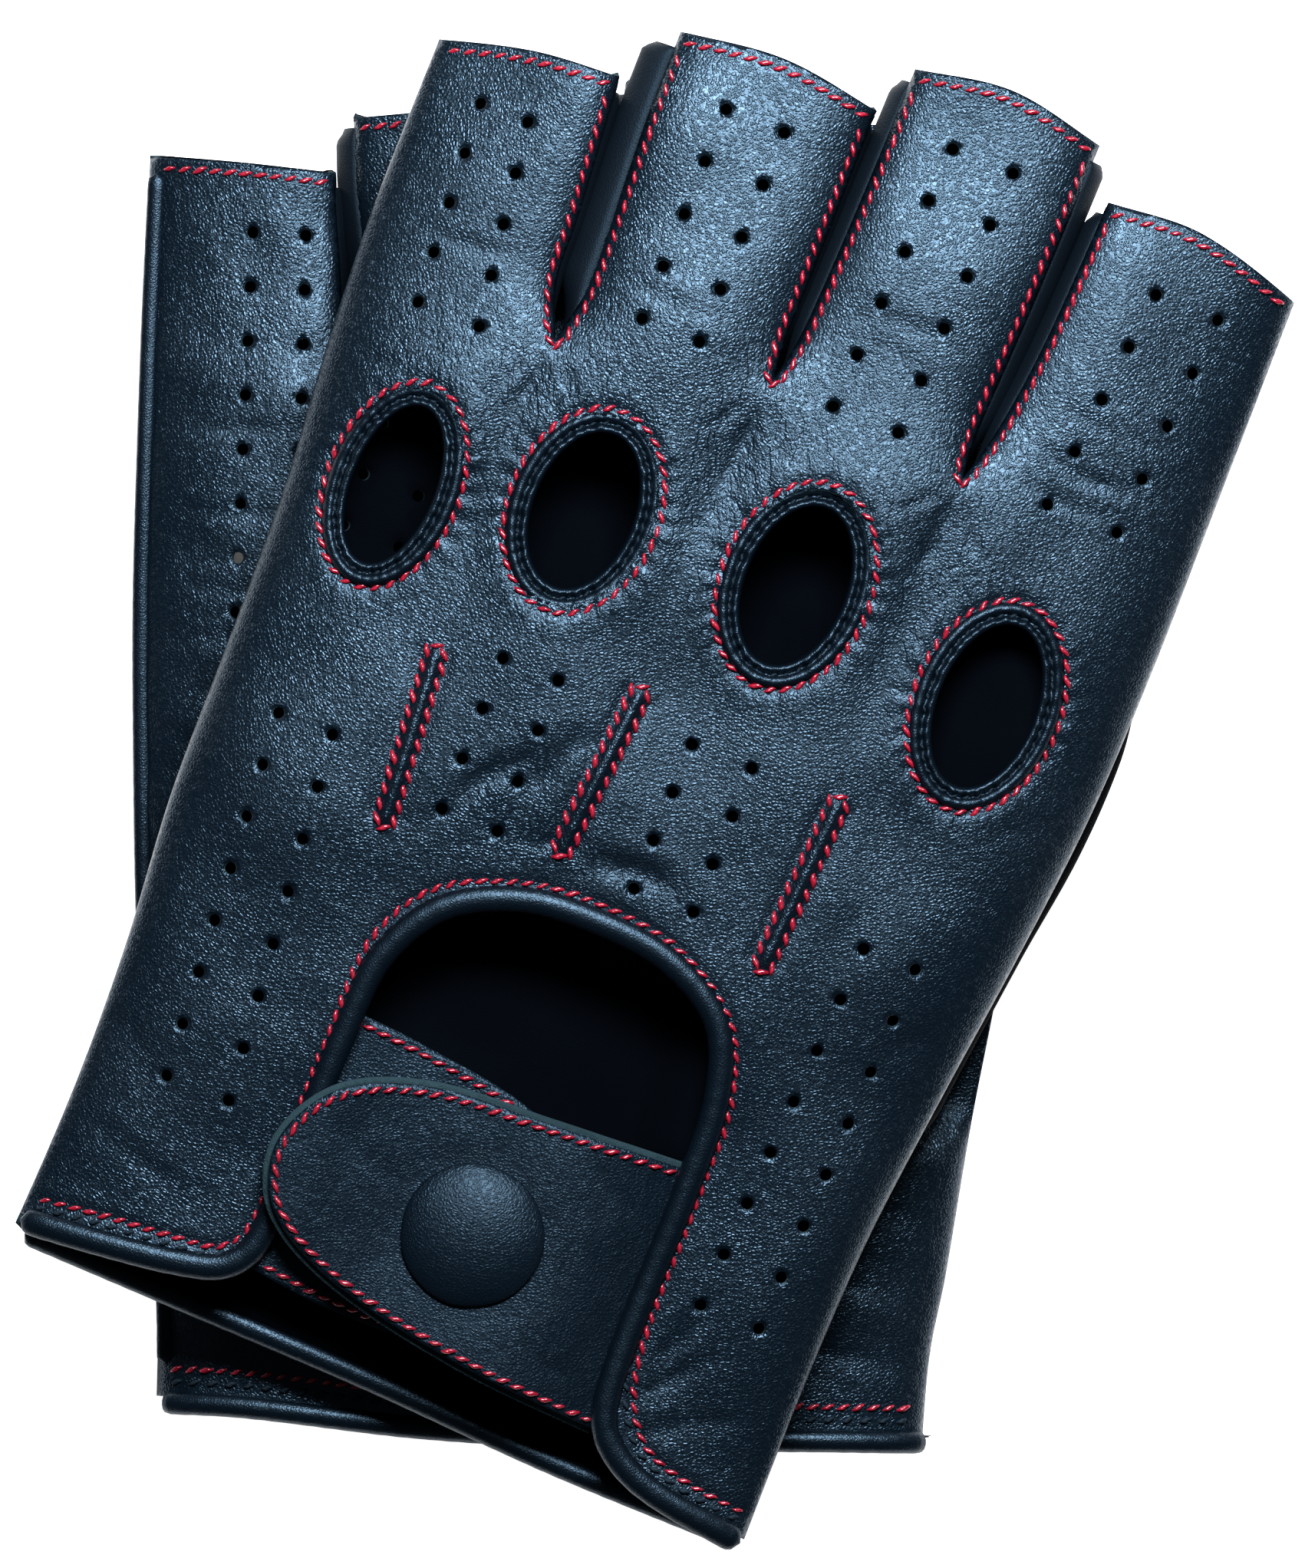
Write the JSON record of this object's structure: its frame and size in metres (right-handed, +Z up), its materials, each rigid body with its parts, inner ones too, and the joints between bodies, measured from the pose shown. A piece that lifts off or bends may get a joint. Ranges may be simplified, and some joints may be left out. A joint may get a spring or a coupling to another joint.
{
  "type": "fingerless driving gloves, pair",
  "caption": "Pair of fingerless leather driving gloves with open knuckles and a snap wrist strap, laid one over the other.",
  "frame": {"origin": "centre of the bounding box's underside, on the surface the gloves lie on", "axes": "+Y towards the fingers, +Z up, +X to the thumb side of both gloves as they lie"},
  "size_m": [0.1602, 0.1896, 0.0349],
  "materials": {
    "leather": "fine-grained nappa with a soft sheen",
    "lining_leather": "suede side out",
    "snap_metal": "dull nickel"
  },
  "bodies": {
    "right_hand": {"right_back_panel": "leather", "right_palm_panel": "leather", "right_fourchette_ring_little": "leather", "right_fourchette_middle_ring": "leather", "right_fourchette_index_middle": "leather", "right_knuckle_ring_little": "leather", "right_knuckle_ring_ring": "leather", "right_knuckle_ring_middle": "leather", "right_knuckle_ring_index": "leather", "right_window_binding": "leather", "right_palm_binding": "leather", "right_stud_tab": "leather", "right_snap_stud": "snap_metal", "right_snap_post": "snap_metal"},
    "right_strap": {"right_strap": "leather", "right_strap_lining": "lining_leather", "right_snap_cap": "leather", "right_snap_socket": "snap_metal"},
    "right_thumb": {"right_thumb": "leather"},
    "left_hand": {"left_back_panel": "leather", "left_palm_panel": "leather", "left_fourchette_ring_little": "leather", "left_fourchette_middle_ring": "leather", "left_fourchette_index_middle": "leather", "left_knuckle_ring_little": "leather", "left_knuckle_ring_ring": "leather", "left_knuckle_ring_middle": "leather", "left_knuckle_ring_index": "leather", "left_window_binding": "leather", "left_palm_binding": "leather", "left_stud_tab": "leather", "left_snap_stud": "snap_metal", "left_snap_post": "snap_metal"},
    "left_strap": {"left_strap": "leather", "left_strap_lining": "lining_leather", "left_snap_cap": "leather", "left_snap_socket": "snap_metal"},
    "left_thumb": {"left_thumb": "leather"}
  },
  "joints": [
    {"name": "left_glove_lift", "type": "slide", "parent": "right_hand", "child": "left_hand", "axis": [0, 0, 1], "range_m": [0, 0.06]},
    {"name": "left_strap_hinge", "type": "hinge", "parent": "left_hand", "child": "left_strap", "pos_m": [-0.00585, -0.06283, 0.0287], "axis": [0.3746, 0.9272, 0], "range_deg": [0, 70]},
    {"name": "left_thumb_swing", "type": "hinge", "parent": "left_hand", "child": "left_thumb", "pos_m": [0.02535, -0.03499, 0.0213], "axis": [0, 0, -1], "range_deg": [0, 55]},
    {"name": "right_strap_hinge", "type": "hinge", "parent": "right_hand", "child": "right_strap", "pos_m": [0.00948, -0.05793, 0.0062], "axis": [-0.0576, -0.9983, 0], "range_deg": [0, 70]},
    {"name": "right_thumb_swing", "type": "hinge", "parent": "right_hand", "child": "right_thumb", "pos_m": [0.03011, -0.02156, 0.0136], "axis": [0, 0, -1], "range_deg": [0, 55]}
  ]
}
